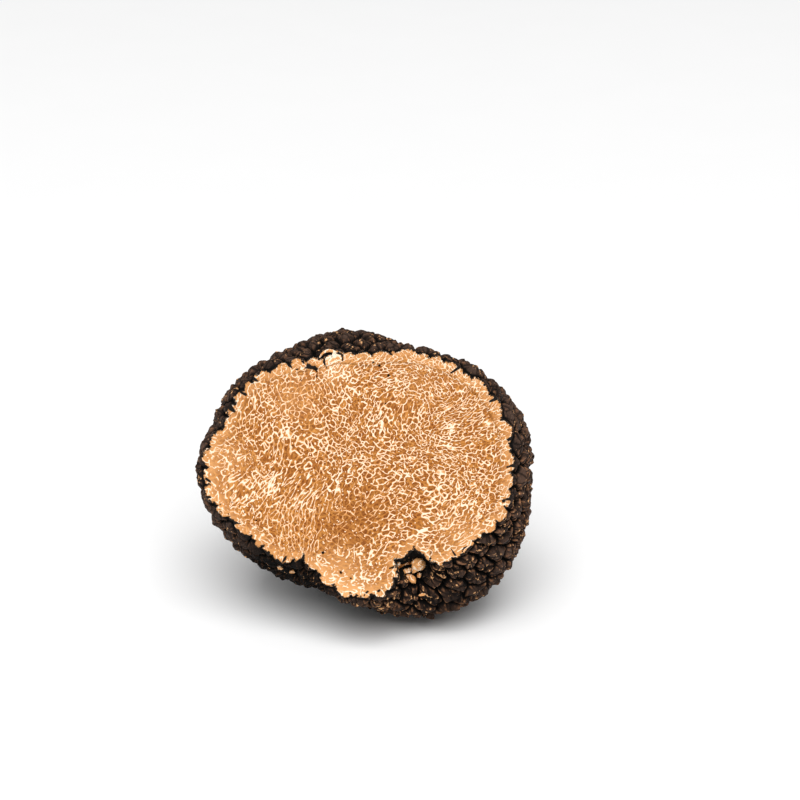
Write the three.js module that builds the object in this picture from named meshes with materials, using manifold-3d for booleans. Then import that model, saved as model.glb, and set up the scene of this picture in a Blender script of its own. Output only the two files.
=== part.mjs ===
// A black truffle with one side sliced off: a lumpy round body covered in blunt polygonal warts, standing on the
// small flat spot under its weight, with the flat cut face leaning back. It grew as one piece, so it is one solid.
// Units are millimetres, +Z is up, and the cut face looks towards -Y. The origin is the middle of the flat spot.
import * as THREE from "three";
import { ConvexHull } from "three/addons/math/ConvexHull.js";
import { mergeVertices } from "three/addons/utils/BufferGeometryUtils.js";
import Module from "manifold-3d";

const wasm = await Module();
wasm.setup();

// The body is worked out in the frame of its cut face: x to the right, y up the face, z out of the face.
// Both outlines are radii from the body's axis at even angles, counter-clockwise from the right.
const girthRadii = [26.8, 27.1, 24.8, 21.0, 23.8, 24.8, 25.2, 27.0, 25.4, 25.8, 22.4, 19.4, 20.6, 24.1, 26.7, 27.3];
const cutRadii = [
  24.4, 25.0, 24.9, 24.0, 22.6, 21.2, 19.8, 20.6, 21.2, 23.4, 24.6, 24.8,
  26.8, 25.0, 21.8, 20.2, 17.4, 19.2, 20.4, 19.8, 16.2, 19.8, 21.4, 24.0,
];
const backRadius = 25.5; // the back is rounder than the girth
const frontDepth = 23.0; // from the girth to the front of the whole truffle, before it was sliced
const backDepth = 24.0; // from the girth to the back
const cutHeight = 10.0; // the slice, in front of the girth

// Low lobes and dents of the body: the way each one faces, its half width in radians, and its height.
const lobes = [
  { toward: [0.55, -0.35, -0.75], halfWidth: 0.45, height: 1.8 },
  { toward: [-0.6, 0.45, -0.65], halfWidth: 0.5, height: 1.4 },
  { toward: [-0.15, 0.75, -0.65], halfWidth: 0.3, height: -1.5 },
  { toward: [0.75, 0.4, -0.5], halfWidth: 0.35, height: -1.2 },
  { toward: [-0.7, -0.25, -0.6], halfWidth: 0.35, height: -1.6 },
  { toward: [0.1, -0.1, -1.0], halfWidth: 0.3, height: -1.3 },
  { toward: [0.0, -0.75, -0.66], halfWidth: 0.55, height: 1.2 },
];

// Warts: their centres spread evenly over the body and then pushed about.
const wartCount = 860; // on the whole truffle, before it was sliced
const wartSeed = 7.0;
const wartScatter = 0.3; // of the spacing between two warts
const grooveDepth = 0.75; // below the body's mean surface
const shoulderHeight = 0.4;
const topHeight = 0.68;
const shoulderReach = 0.56; // of the way from a wart's middle to its corner

// How the truffle stands.
const faceElevation = 28; // degrees, the way the cut face looks above the horizon
const faceAzimuth = -6; // degrees, turned to the left
const girthHeight = 23.8; // from the surface it stands on to the middle of the girth
const spotRight = 3.5; // the middle of the flat spot, to the right of the middle of the girth
const spotBehind = 3.5; // and behind it
const blockSize = 120; // the blocks that slice it are larger than the body

const skinMaterial = new THREE.MeshStandardMaterial({ color: 0x2b221d, roughness: 0.75, metalness: 0 });
const fleshMaterial = new THREE.MeshStandardMaterial({ color: 0xc9955f, roughness: 0.6, metalness: 0 });

const cutPolar = Math.acos(cutHeight / frontDepth); // where the slice meets an even body
const goldenAngle = Math.PI * (3 - Math.sqrt(5));

// A number from 0 to 1 that is always the same for the same wart and use.
function scatter(index, use) {
  const wave = Math.sin(index * 12.9898 + use * 78.233 + wartSeed) * 43758.5453;
  return wave - Math.floor(wave);
}

// A closed outline through its radii, smooth between them.
function outlineRadius(radii, angle) {
  const count = radii.length;
  const place = (((angle / (2 * Math.PI)) % 1) + 1) % 1 * count;
  const first = Math.floor(place) % count;
  const t = place - Math.floor(place);
  const [before, from, to, after] = [-1, 0, 1, 2].map((step) => radii[(first + step + count) % count]);
  const rise = (to - before) / 2;
  const fall = (after - from) / 2;
  return from + t * (rise + t * (3 * (to - from) - 2 * rise - fall + t * (2 * (from - to) + rise + fall)));
}

// The mean surface, without warts, in a direction from the middle of the girth.
function bodyPoint(direction) {
  const polar = Math.acos(THREE.MathUtils.clamp(direction.z, -1, 1));
  const angle = Math.atan2(direction.y, direction.x);
  const girth = outlineRadius(girthRadii, angle);
  const cut = outlineRadius(cutRadii, angle) / Math.sin(cutPolar);
  const towardCut = 1 - THREE.MathUtils.smoothstep(polar, cutPolar, Math.PI / 2);
  const towardBack = THREE.MathUtils.smoothstep(polar, Math.PI / 2, Math.PI * 0.85);
  const outline = THREE.MathUtils.lerp(THREE.MathUtils.lerp(girth, cut, towardCut), backRadius, towardBack);
  const depth = direction.z > 0 ? frontDepth : backDepth;
  const point = new THREE.Vector3(direction.x * outline, direction.y * outline, direction.z * depth);
  for (const lobe of lobes) {
    const away = direction.angleTo(new THREE.Vector3(...lobe.toward));
    point.addScaledVector(direction, lobe.height * Math.exp(-((away / lobe.halfWidth) ** 2)));
  }
  return point;
}

// The way the mean surface faces, from two points close beside this one.
function bodyNormal(direction) {
  const step = 0.02;
  const side = new THREE.Vector3(-direction.y, direction.x, 0);
  if (side.lengthSq() < 1e-6) side.set(1, 0, 0);
  side.normalize();
  const up = new THREE.Vector3().crossVectors(direction, side);
  const slope = (way) => {
    const ahead = bodyPoint(direction.clone().addScaledVector(way, step).normalize());
    const behind = bodyPoint(direction.clone().addScaledVector(way, -step).normalize());
    return ahead.sub(behind);
  };
  return slope(side).cross(slope(up)).normalize();
}

function raisedPoint(direction, height) {
  return bodyPoint(direction).addScaledVector(bodyNormal(direction), height);
}

// The middle of each wart as a direction: a spiral of even spacing, pushed about.
function wartDirections() {
  const spacing = Math.sqrt((4 * Math.PI) / wartCount);
  const directions = [];
  for (let i = 0; i < wartCount; i++) {
    const z = 1 - (2 * (i + 0.5)) / wartCount;
    const angle = i * goldenAngle;
    const ring = Math.sqrt(1 - z * z);
    const direction = new THREE.Vector3(ring * Math.cos(angle), ring * Math.sin(angle), z);
    const push = new THREE.Vector3(scatter(i, 1) - 0.5, scatter(i, 2) - 0.5, scatter(i, 3) - 0.5);
    directions.push(direction.addScaledVector(push, 2 * wartScatter * spacing).normalize());
  }
  return directions;
}

// The triangles between neighbouring warts: each is three wart numbers, counter-clockwise from outside.
function neighbourTriangles(directions) {
  const numberOf = new Map(directions.map((direction, i) => [direction, i]));
  return new ConvexHull().setFromPoints(directions).faces.map((face) => {
    const corners = [];
    let edge = face.edge;
    do {
      corners.push(numberOf.get(edge.head().point));
      edge = edge.next;
    } while (edge !== face.edge);
    return corners;
  });
}

// The whole truffle: the grooves run between the warts, and each wart is a blunt pyramid on its own polygon.
function wartedGeometry() {
  const directions = wartDirections();
  const triangles = neighbourTriangles(directions);
  const positions = [];
  const indices = [];
  const addPoint = (direction, height) => positions.push(...raisedPoint(direction, height).toArray()) / 3 - 1;

  // One groove corner for each triangle, halfway between its centre of gravity and the point as far from all three.
  const cornerDirections = triangles.map(([a, b, c]) => {
    const [p, q, r] = [directions[a], directions[b], directions[c]];
    const middle = p.clone().add(q).add(r).normalize();
    const even = q.clone().sub(p).cross(r.clone().sub(p)).normalize();
    return middle.add(even).normalize();
  });
  const corners = cornerDirections.map((direction) => addPoint(direction, -grooveDepth));

  const triangleAfter = new Map(); // "a,b" is the triangle that runs from wart a to wart b
  triangles.forEach(([a, b, c], i) => {
    triangleAfter.set(`${a},${b}`, i);
    triangleAfter.set(`${b},${c}`, i);
    triangleAfter.set(`${c},${a}`, i);
  });
  const firstTriangle = new Map();
  triangles.forEach((warts, i) => warts.forEach((wart) => firstTriangle.set(wart, i)));

  directions.forEach((direction, wart) => {
    const around = [];
    let triangle = firstTriangle.get(wart);
    do {
      around.push(triangle);
      const warts = triangles[triangle];
      const last = warts[(warts.indexOf(wart) + 2) % 3];
      triangle = triangleAfter.get(`${wart},${last}`);
    } while (triangle !== around[0]);

    const size = 0.8 + 0.4 * scatter(wart, 4);
    const top = addPoint(direction, topHeight * size);
    const shoulders = around.map((corner) => {
      const toward = direction.clone().lerp(cornerDirections[corner], shoulderReach).normalize();
      return addPoint(toward, shoulderHeight * size);
    });
    around.forEach((corner, i) => {
      const next = (i + 1) % around.length;
      indices.push(corners[corner], corners[around[next]], shoulders[next]);
      indices.push(corners[corner], shoulders[next], shoulders[i]);
      indices.push(shoulders[i], shoulders[next], top);
    });
  });
  const geometry = new THREE.BufferGeometry();
  geometry.setAttribute("position", new THREE.Float32BufferAttribute(positions, 3));
  return geometry.setIndex(indices);
}

function solidOf(geometry) {
  const bare = new THREE.BufferGeometry().setAttribute("position", geometry.getAttribute("position"));
  const merged = mergeVertices(bare.setIndex(geometry.index), 1e-4);
  const vertProperties = merged.getAttribute("position").array;
  return new wasm.Manifold(new wasm.Mesh({ numProp: 3, vertProperties, triVerts: merged.index.array }));
}

function geometryOf(solid) {
  const { vertProperties, triVerts } = solid.getMesh();
  const geometry = new THREE.BufferGeometry();
  geometry.setAttribute("position", new THREE.BufferAttribute(vertProperties, 3));
  return geometry.setIndex(new THREE.BufferAttribute(triVerts, 1));
}

// A block whose middle is this far along z, to take away everything on its side of a plane.
function block(middle) {
  return solidOf(new THREE.BoxGeometry(blockSize, blockSize, blockSize).translate(0, 0, middle));
}

// Sliced, turned to lean back, set down into the surface that it stands on, and flattened there.
function truffleGeometry() {
  const sliced = geometryOf(solidOf(wartedGeometry()).subtract(block(cutHeight + blockSize / 2)));
  sliced.rotateX(THREE.MathUtils.degToRad(90 - faceElevation));
  sliced.rotateZ(THREE.MathUtils.degToRad(faceAzimuth));
  sliced.translate(-spotRight, -spotBehind, girthHeight);
  return geometryOf(solidOf(sliced).subtract(block(-blockSize / 2)));
}

// The triangles that lie in the cut face show flesh, and all others show skin.
function paintCutFace(geometry) {
  const loose = geometry.toNonIndexed();
  loose.computeVertexNormals();
  const out = new THREE.Vector3(0, 0, 1)
    .applyAxisAngle(new THREE.Vector3(1, 0, 0), THREE.MathUtils.degToRad(90 - faceElevation))
    .applyAxisAngle(new THREE.Vector3(0, 0, 1), THREE.MathUtils.degToRad(faceAzimuth));
  const normal = new THREE.Vector3();
  const corner = new THREE.Vector3();
  const positions = loose.getAttribute("position");
  let front = -Infinity;
  for (let i = 0; i < positions.count; i++) {
    front = Math.max(front, corner.fromBufferAttribute(positions, i).dot(out));
  }
  for (let i = 0; i < positions.count; i += 3) {
    normal.fromBufferAttribute(loose.getAttribute("normal"), i);
    corner.fromBufferAttribute(positions, i);
    const inCut = normal.dot(out) > 0.9999 && corner.dot(out) > front - 0.01;
    loose.addGroup(i, 3, inCut ? 1 : 0);
  }
  return loose;
}

const truffle = new THREE.Mesh(paintCutFace(truffleGeometry()), [skinMaterial, fleshMaterial]);
truffle.name = "truffle";

const part = new THREE.Group();
part.add(truffle);

export default part;
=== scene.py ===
import math

import bpy
import numpy as np
from mathutils import Matrix, Vector
from mathutils.kdtree import KDTree


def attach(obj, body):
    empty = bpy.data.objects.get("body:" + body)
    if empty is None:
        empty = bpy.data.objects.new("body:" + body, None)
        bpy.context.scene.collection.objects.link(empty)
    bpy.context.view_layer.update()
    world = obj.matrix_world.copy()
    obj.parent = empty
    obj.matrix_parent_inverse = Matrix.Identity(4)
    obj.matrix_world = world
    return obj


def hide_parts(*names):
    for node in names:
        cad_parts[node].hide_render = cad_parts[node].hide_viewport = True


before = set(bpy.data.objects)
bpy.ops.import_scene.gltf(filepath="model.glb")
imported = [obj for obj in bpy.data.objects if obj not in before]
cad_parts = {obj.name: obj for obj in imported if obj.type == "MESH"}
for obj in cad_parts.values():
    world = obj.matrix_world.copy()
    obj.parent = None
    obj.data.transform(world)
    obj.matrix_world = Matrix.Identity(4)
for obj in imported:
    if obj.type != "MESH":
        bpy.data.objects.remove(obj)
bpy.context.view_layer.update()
scene = bpy.context.scene
mm = 0.001  # the shapes below are worked out in millimetres, the scene is in metres
print("frame loaded, nodes:", sorted(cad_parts))


# a web colour as Blender counts light
def linearColour(hexText):
    channels = [int(hexText[i:i + 2], 16) / 255 for i in (1, 3, 5)]
    return tuple(c / 12.92 if c <= 0.04045 else ((c + 0.055) / 1.055) ** 2.4 for c in channels) + (1.0,)


def smoothStep(value, low, high):
    t = np.clip((value - low) / (high - low), 0, 1)
    return t * t * (3 - 2 * t)


def mix(a, b, share):
    return a + (b - a) * share


def unit(vectors):
    return vectors / np.linalg.norm(vectors, axis=-1, keepdims=True)


# the same number from 0 to 1 every time for the same index and use
def scatter(index, use, seed):
    wave = np.sin(index * 12.9898 + use * 78.233 + seed) * 43758.5453
    return wave - np.floor(wave)


# smooth random value from -1 to 1 at each point, one bump for each size
def softNoise(points, size, seed):
    place = points / size
    cell = np.floor(place).astype(np.int64)
    t = place - cell
    t = t * t * t * (t * (t * 6 - 15) + 10)
    total = np.zeros(len(points))
    for corner in range(8):
        step = np.array([corner & 1, corner >> 1 & 1, corner >> 2 & 1])
        key = (cell + step) @ np.array([73856093, 19349663, 83492791]) + seed * 2654435761
        key = (key ^ key >> 13) * 1274126177 & 0xFFFFFFFF
        key = (key ^ key >> 15) * 2246822519 & 0xFFFFFFFF
        value = (key ^ key >> 13 & 0xFFFF) / 2147483648 - 1
        total += value * np.where(step == 1, t, 1 - t).prod(axis=1)
    return total


# adds a node with its settings, values and links, and gives back one of its outputs
def addNode(tree, kind, inputs=(), output=0, **settings):
    node = tree.nodes.new("ShaderNode" + kind)
    for name, value in settings.items():
        setattr(node, name, value)
    for key, value in inputs.items() if isinstance(inputs, dict) else enumerate(inputs):
        if isinstance(value, bpy.types.NodeSocket):
            tree.links.new(value, node.inputs[key])
        else:
            node.inputs[key].default_value = value
    return node.outputs[output]


# settings that many nodes share
inPlane = {"noise_dimensions": "2D"}
cellsInPlane = {"voronoi_dimensions": "2D", "feature": "F1"}
fading = {"interpolation_type": "SMOOTHSTEP"}
colours = {"data_type": "RGBA"}


# the body is a lumpy round, in the frame of its cut face: x right, y up the face, z out of it
truffleBody = {
    "girthRadii": [26.8, 27.1, 24.8, 21.0, 23.8, 24.8, 25.2, 27.0,
                   25.4, 25.8, 22.4, 19.4, 20.6, 24.1, 26.7, 27.3],
    "cutRadii": [24.4, 25.0, 24.9, 24.0, 22.6, 21.2, 19.8, 20.6, 21.2, 23.4, 24.6, 24.8,
                 26.8, 25.0, 21.8, 20.2, 17.4, 19.2, 20.4, 19.8, 16.2, 19.8, 21.4, 24.0],
    "backRadius": 25.5,
    "frontDepth": 23.0,  # girth to the front of the whole truffle
    "backDepth": 24.0,
    "cutHeight": 10.0,  # the slice, in front of the girth
    "faceElevation": 28.0,  # degrees
    "faceAzimuth": -6.0,
    "girthHeight": 23.8,  # above the surface it stands on
    "spotRight": 3.5,  # the middle of the flat spot from the middle of the girth
    "spotBehind": 3.5,
    "lobes": [  # the way each faces, half width in radians, height
        ((0.55, -0.35, -0.75), 0.45, 1.8),
        ((-0.6, 0.45, -0.65), 0.5, 1.4),
        ((-0.15, 0.75, -0.65), 0.3, -1.5),
        ((0.75, 0.4, -0.5), 0.35, -1.2),
        ((-0.7, -0.25, -0.6), 0.35, -1.6),
        ((0.1, -0.1, -1.0), 0.3, -1.3),
        ((0.0, -0.75, -0.66), 0.55, 1.2),
    ],
}
cutPolar = math.acos(truffleBody["cutHeight"] / truffleBody["frontDepth"])


# radius at an angle, on a smooth curve through evenly spaced radii
def outlineRadius(radii, angle):
    radii = np.array(radii)
    count = len(radii)
    place = angle / (2 * np.pi) % 1 * count
    first = np.floor(place).astype(int) % count
    t = place - np.floor(place)
    before, start, end, after = [radii[(first + step) % count] for step in (-1, 0, 1, 2)]
    rise = (end - before) / 2
    fall = (after - start) / 2
    second = 3 * (end - start) - 2 * rise - fall
    third = 2 * (start - end) + rise + fall
    return start + t * (rise + t * (second + t * third))


# the mean surface, without warts, for each direction from the middle of the girth
def bodyPoint(direction):
    polar = np.arccos(np.clip(direction[:, 2], -1, 1))
    angle = np.arctan2(direction[:, 1], direction[:, 0])
    girth = outlineRadius(truffleBody["girthRadii"], angle)
    cut = outlineRadius(truffleBody["cutRadii"], angle) / math.sin(cutPolar)
    towardCut = 1 - smoothStep(polar, cutPolar, math.pi / 2)
    towardBack = smoothStep(polar, math.pi / 2, math.pi * 0.85)
    outline = mix(mix(girth, cut, towardCut), truffleBody["backRadius"], towardBack)
    depth = np.where(direction[:, 2] > 0, truffleBody["frontDepth"], truffleBody["backDepth"])
    point = direction * np.stack([outline, outline, depth], axis=1)
    for toward, halfWidth, height in truffleBody["lobes"]:
        away = np.arccos(np.clip(direction @ unit(np.array(toward)), -1, 1))
        point += direction * (height * np.exp(-(away / halfWidth) ** 2))[:, None]
    return point


def bodyNormal(direction):
    step = 0.02
    side = np.stack([-direction[:, 1], direction[:, 0], np.zeros(len(direction))], axis=1)
    side[np.linalg.norm(side, axis=1) < 1e-3] = (1, 0, 0)
    side = unit(side)
    up = np.cross(direction, side)
    slopes = []
    for way in (side, up):
        slopes.append(bodyPoint(unit(direction + way * step)) - bodyPoint(unit(direction - way * step)))
    return unit(np.cross(*slopes))


# from the frame of the cut face to where the truffle stands, in millimetres
def stand(points):
    lean = math.radians(90 - truffleBody["faceElevation"])
    turn = math.radians(truffleBody["faceAzimuth"])
    leanMatrix = np.array(Matrix.Rotation(lean, 3, "X"))
    turnMatrix = np.array(Matrix.Rotation(turn, 3, "Z"))
    shift = (-truffleBody["spotRight"], -truffleBody["spotBehind"], truffleBody["girthHeight"])
    return points @ (turnMatrix @ leanMatrix).T + np.array(shift)


warts = {
    "count": 860,  # on the whole truffle, before it was sliced
    "seed": 7.0,
    "scatter": 0.3,  # of the spacing between two warts
    "waves": [(1.5, 0.22), (0.6, 0.09)],  # size and reach of the waves in each wart's outline, mm
    "grooveDepth": 1.12,  # below the mean surface, mm
    "creaseWidth": 0.2,
    "wallHeight": 1.05,
    "roofHeight": 0.72,
    "facetSlope": 0.26,  # of the flat sides that rise from a wart's borders and meet in ridges
    "facetReach": 1.3,  # from the border to where those sides level off
    "furrowDepth": 0.25,  # of the furrows that run from a wart's middle to its border
    "furrowWidth": 0.2,
    "lumpsPerWart": 3,
    "lumpDepth": 0.17,
    "lumpCrease": 0.16,
    "lumpTilt": 0.95,  # slope, each lump its own way, so that warts come out angular
    "pitDepth": 0.35,
    "pitWidth": 0.42,
    "fineDepth": 0.045,
    "fineGrains": [(2.6, 2.5), (1.0, 1.4), (0.4, 0.9)],  # size in mm, and height by the fine depth
    "unrubbedDrop": 0.12,  # how much lower the skin lies where it isn't rubbed
    "rubbedFlattening": 0.55,  # share of a wart's roof that rubbing takes off
    "cutSmoothing": 0.58,  # share of the relief that the knife pressed flat beside the cut
    "cutReach": 0.8,  # how far from the cut
    # x, y, radius, share: flatter warts, with more of their tips worn off
    "rubbed": [(11.0, -19.0, 10.5, 1.0), (26.0, -4.0, 8.0, 0.5)],
    # x, y, radius, and how strongly the skin is painted darker there: painted shade at the lower left, near
    # the ground
    "lowerLeftShade": [(-15.0, -16.0, 7.0, 1.0), (-8.0, -20.0, 5.0, 0.8)],
    # x, y, radius and depth in mm, below nought where the skin swells
    "bites": [
        (9.2, -15.1, 2.3, 1.6), (-11.5, -16.5, 1.6, 0.6), (-8.5, 20.0, 1.2, 0.5), (-27.4, -0.2, 1.8, 0.5),
        (-11.6, -17.4, 2.8, -0.9),
    ],
    "biteBack": (-9.0, -3.0),  # height over the girth where a bite fades in, so that the back has none
}


# spiral of even spacing over the sphere, each point pushed about
def spiralSites(count, seed, share):
    i = np.arange(count)
    z = 1 - 2 * (i + 0.5) / count
    angle = i * math.pi * (3 - math.sqrt(5))
    ring = np.sqrt(1 - z * z)
    spacing = math.sqrt(4 * math.pi / count)
    push = np.stack([scatter(i, use, seed) - 0.5 for use in (1, 2, 3)], axis=1)
    even = np.stack([ring * np.cos(angle), ring * np.sin(angle), z], axis=1)
    return unit(even + push * 2 * share * spacing)


def siteTree(sites):
    tree = KDTree(len(sites))
    for i, site in enumerate(sites):
        tree.insert(site, i)
    tree.balance()
    return tree


wartSites = spiralSites(warts["count"], warts["seed"], warts["scatter"])
wartTree = siteTree(wartSites)
lumpSites = spiralSites(warts["count"] * warts["lumpsPerWart"], warts["seed"] + 3, 0.42)
lumpTree = siteTree(lumpSites)


# for each direction: its site, the distance to it, the distance to the nearest border with a neighbour,
# and the way to that border
def cellPlace(direction, sites, tree, radius):
    near = np.array([[hit[1] for hit in tree.find_n(d, 5)] for d in direction])
    own = sites[near[:, 0]]
    toSite = np.linalg.norm(direction - own, axis=1) * radius
    borders = []
    for k in range(1, 5):
        other = sites[near[:, k]]
        gap = np.linalg.norm(other - own, axis=1)
        squares = np.sum((direction - other) ** 2, axis=1) - np.sum((direction - own) ** 2, axis=1)
        borders.append(squares / (2 * gap) * radius)
    borders = np.maximum(np.array(borders), 0)
    nearest = borders.argmin(axis=0)
    way = unit(sites[near[np.arange(len(direction)), nearest + 1]] - own)
    return near[:, 0], toSite, borders.min(axis=0), way


# how far each point is from the nearest furrow of its own wart
def furrowDistance(direction, wart, toSite):
    seed = warts["seed"]
    east = unit(np.cross(wartSites[wart], (0.36, 0.48, 0.8)))
    north = np.cross(wartSites[wart], east)
    way = direction - wartSites[wart]
    turn = np.arctan2(np.sum(way * north, axis=1), np.sum(way * east, axis=1))
    count = 4 + np.floor(4 * scatter(wart, 9, seed))
    sway = 0.35 * np.sin(turn + 2 * np.pi * scatter(wart, 11, seed))
    ray = turn * count / (2 * np.pi) + scatter(wart, 10, seed) + sway
    return np.abs(ray - np.round(ray)) * 2 * np.pi / count * toSite


# amounts that fade round their places in the cut's plane
def spotSum(points, spots):
    total = np.zeros(len(points))
    for x, y, radius, amount in spots:
        away = np.hypot(points[:, 0] - x, points[:, 1] - y)
        total += amount * np.exp(-(away / radius) ** 2)
    return total


# pushes each direction a little way along the skin, so that the borders between warts wander
def wanderedDirection(direction):
    mean = bodyPoint(direction)
    radius = np.linalg.norm(mean, axis=1)
    push = np.zeros(mean.shape)
    for size, reach in warts["waves"]:
        for axis in range(3):
            push[:, axis] += reach * softNoise(mean, size, 60 + axis)
    return unit(direction + push / radius[:, None])


# height above the mean surface, and what the skin's finish needs to know
def wartRelief(direction):
    seed = warts["seed"]
    mean = bodyPoint(direction)
    radius = np.linalg.norm(mean, axis=1)
    wandered = wanderedDirection(direction)
    wart, toSite, border, _ = cellPlace(wandered, wartSites, wartTree, radius)
    lump, _, lumpBorder, _ = cellPlace(wandered, lumpSites, lumpTree, radius)
    furrow = furrowDistance(wandered, wart, toSite)
    size = 0.75 + 0.5 * scatter(wart, 4, seed)
    roundness = border / (border + toSite + 1e-6)
    wall = 1 - np.exp(-(border / warts["creaseWidth"]) ** 1.3)
    height = -warts["grooveDepth"] + wall * warts["wallHeight"] * (0.8 + 0.2 * size)
    rubbed = spotSum(mean, warts["rubbed"])
    roof = warts["roofHeight"] * (1 - warts["rubbedFlattening"] * rubbed) * roundness ** 0.6
    height += size * (roof + warts["facetSlope"] * np.minimum(border, warts["facetReach"]))
    raised = 1 - np.exp(-(lumpBorder / warts["lumpCrease"]) ** 1.2)
    height += warts["lumpDepth"] * (raised - 0.7) * (0.3 + 0.7 * scatter(wart, 5, seed)) * wall
    tilt = np.stack([scatter(lump, use, seed) - 0.5 for use in (20, 21, 22)], axis=1) * warts["lumpTilt"]
    height += np.sum((wandered - lumpSites[lump]) * tilt, axis=1) * radius * wall * (0.4 + 0.6 * rubbed)
    between = smoothStep(toSite, 0.1, 0.45) * wall
    furrowed = np.exp(-(furrow / warts["furrowWidth"]) ** 1.5) * between
    height -= warts["furrowDepth"] * furrowed * (0.35 + 0.65 * scatter(wart, 7, seed))
    pitted = smoothStep(scatter(wart, 6, seed), 0.2, 0.8)
    pitWidth = warts["pitWidth"] * (0.7 + 0.8 * scatter(wart, 12, seed))
    height -= warts["pitDepth"] * np.exp(-(toSite / pitWidth) ** 2) * pitted
    for grain, share in warts["fineGrains"]:
        height += softNoise(mean, grain, 5) * warts["fineDepth"] * share * (0.3 + 0.7 * wall)
    fromCut = (mean[:, 2] - truffleBody["cutHeight"]) / warts["cutReach"]
    height *= 1 - warts["cutSmoothing"] * np.exp(-fromCut ** 2)
    bitten = np.zeros(len(mean))
    for x, y, reach, depth in warts["bites"]:
        away = np.hypot(mean[:, 0] - x, mean[:, 1] - y)
        inside = np.exp(-(away / reach) ** 4) * smoothStep(mean[:, 2], *warts["biteBack"])
        height -= depth * inside
        bitten += depth * inside
    # in the bites the distance to a crease shrinks, so that the skin's finish paints them near-black:
    # painted shade in the hollows
    border = border * (1 - 0.75 * np.clip(bitten, 0, 1))
    lowerLeftShade = spotSum(mean, warts["lowerLeftShade"])
    height -= warts["unrubbedDrop"] * (1 - rubbed)
    finish = {"crease": border, "lumpCrease": lumpBorder, "furrow": furrow, "tip": toSite, "wart": wart}
    return height, {**finish, "lowerLeftShade": lowerLeftShade, "rubbed": rubbed}


def skinPoint(direction):
    height = wartRelief(direction)[0]
    return bodyPoint(direction) + bodyNormal(direction) * height[:, None]


def directionAt(polar, angle):
    return np.stack([np.sin(polar) * np.cos(angle), np.sin(polar) * np.sin(angle), np.cos(polar)], axis=-1)


rindGrid = {
    "columns": 760,
    "rows": 186,
    "frontRows": 106,  # of the rows, in the first of the rind's two pieces
    "leanTo": 290.0,  # degrees round the cut where the columns are closest
    "lean": 0.33,
    "rimSpacing": 0.62,  # of the mean row spacing
    "rimFade": 0.03,  # radians over which the rows forget the rim's jags
    "innerShrink": 0.14,  # the rind's inner side, of the way to the middle
    "innerRows": 8,
    "ringStrips": 4,  # of the rind's section on the cut face
    "snapReach": 0.3,  # points this close to a crease move onto it
}


# where each column of the skin meets the knife's cut
def rimPolar(angles, surface):
    low = np.full(len(angles), cutPolar - 0.12)
    high = np.full(len(angles), cutPolar + 0.12)
    for _ in range(16):
        middle = (low + high) / 2
        above = surface(directionAt(middle, angles))[:, 2] > truffleBody["cutHeight"]
        low = np.where(above, middle, low)
        high = np.where(above, high, middle)
    return (low + high) / 2


# columns stand closer where the skin shows most below the cut
def spreadAngles():
    even = np.arange(rindGrid["columns"]) * 2 * math.pi / rindGrid["columns"]
    turn = math.radians(rindGrid["leanTo"])
    angles = np.linspace(-0.5, 2 * math.pi + 0.5, 4000)
    counted = angles + rindGrid["lean"] * (np.sin(angles - turn) + math.sin(turn))
    return np.interp(even, counted, angles)


columnAngles = spreadAngles()
jaggedRim = rimPolar(columnAngles, skinPoint)
evenRim = rimPolar(columnAngles, bodyPoint)
print("rim found")


# how far down from the rim each row lies, from 0 at the rim to 1 at the back
def rowShare(rows):
    t = rows / rindGrid["rows"]
    return t * (rindGrid["rimSpacing"] + (1 - rindGrid["rimSpacing"]) * t * t)


def skinDirections():
    share = rowShare(np.arange(rindGrid["rows"] + 1))
    even = evenRim[None, :] + (math.pi - evenRim[None, :]) * share[:, None]
    jag = (jaggedRim - evenRim)[None, :] * np.exp(-(even - evenRim[None, :]) / rindGrid["rimFade"])
    polar = even + jag
    polar[-1] = math.pi
    return directionAt(polar, np.broadcast_to(columnAngles, polar.shape))


# moves points that lie close to a crease onto it, so that creases come out clean
def snappedDirections(directions):
    flat = directions[1:-1].reshape(-1, 3)
    radius = np.linalg.norm(bodyPoint(flat), axis=1)
    _, _, border, way = cellPlace(wanderedDirection(flat), wartSites, wartTree, radius)
    reach = rindGrid["snapReach"]
    move = border * (1 - smoothStep(border, reach * 0.2, reach))
    moved = unit(flat + way * (move / radius)[:, None]).reshape(directions[1:-1].shape)
    ramp = np.clip(np.arange(1, len(directions) - 1) / 3, 0, 1)[:, None, None]
    directions[1:-1] = unit(mix(directions[1:-1], moved, ramp))
    return directions


# how sharply a ridge bends at each point of the grid, per millimetre; hollows come out below nought
def ridgeSharpness(grid, normals):
    total = np.zeros(grid.shape[:2])
    for axis in (0, 1):
        before = np.roll(grid, 1, axis) - grid
        after = np.roll(grid, -1, axis) - grid
        spacing = (np.linalg.norm(before, axis=2) + np.linalg.norm(after, axis=2)) / 2 + 0.05
        bend = -np.sum((before + after) * normals, axis=2) / spacing ** 2
        if axis == 0:
            bend[[0, -1]] = 0
        total += bend
    around = sum(np.roll(total, step, axis) for axis in (0, 1) for step in (-1, 1))
    return total * 0.5 + around * 0.125


directions = snappedDirections(skinDirections())
flatDirections = directions.reshape(-1, 3)
relief, skinValues = wartRelief(flatDirections)
skinValues["relief"] = relief
skinValues["wartTone"] = scatter(skinValues.pop("wart"), 8, warts["seed"])
meanNormals = bodyNormal(flatDirections)
outer = bodyPoint(flatDirections) + meanNormals * relief[:, None]
gridShape = (rindGrid["rows"] + 1, rindGrid["columns"])
skinValues["ridge"] = ridgeSharpness(
    outer.reshape(*gridShape, 3), meanNormals.reshape(*gridShape, 3)).ravel()
takenOff = np.maximum(outer[:, 2] - truffleBody["cutHeight"], 0)  # of the warts that the knife went through
outer[:, 2] = np.minimum(outer[:, 2], truffleBody["cutHeight"])
print("skin worked out:", len(outer), "points")


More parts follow.
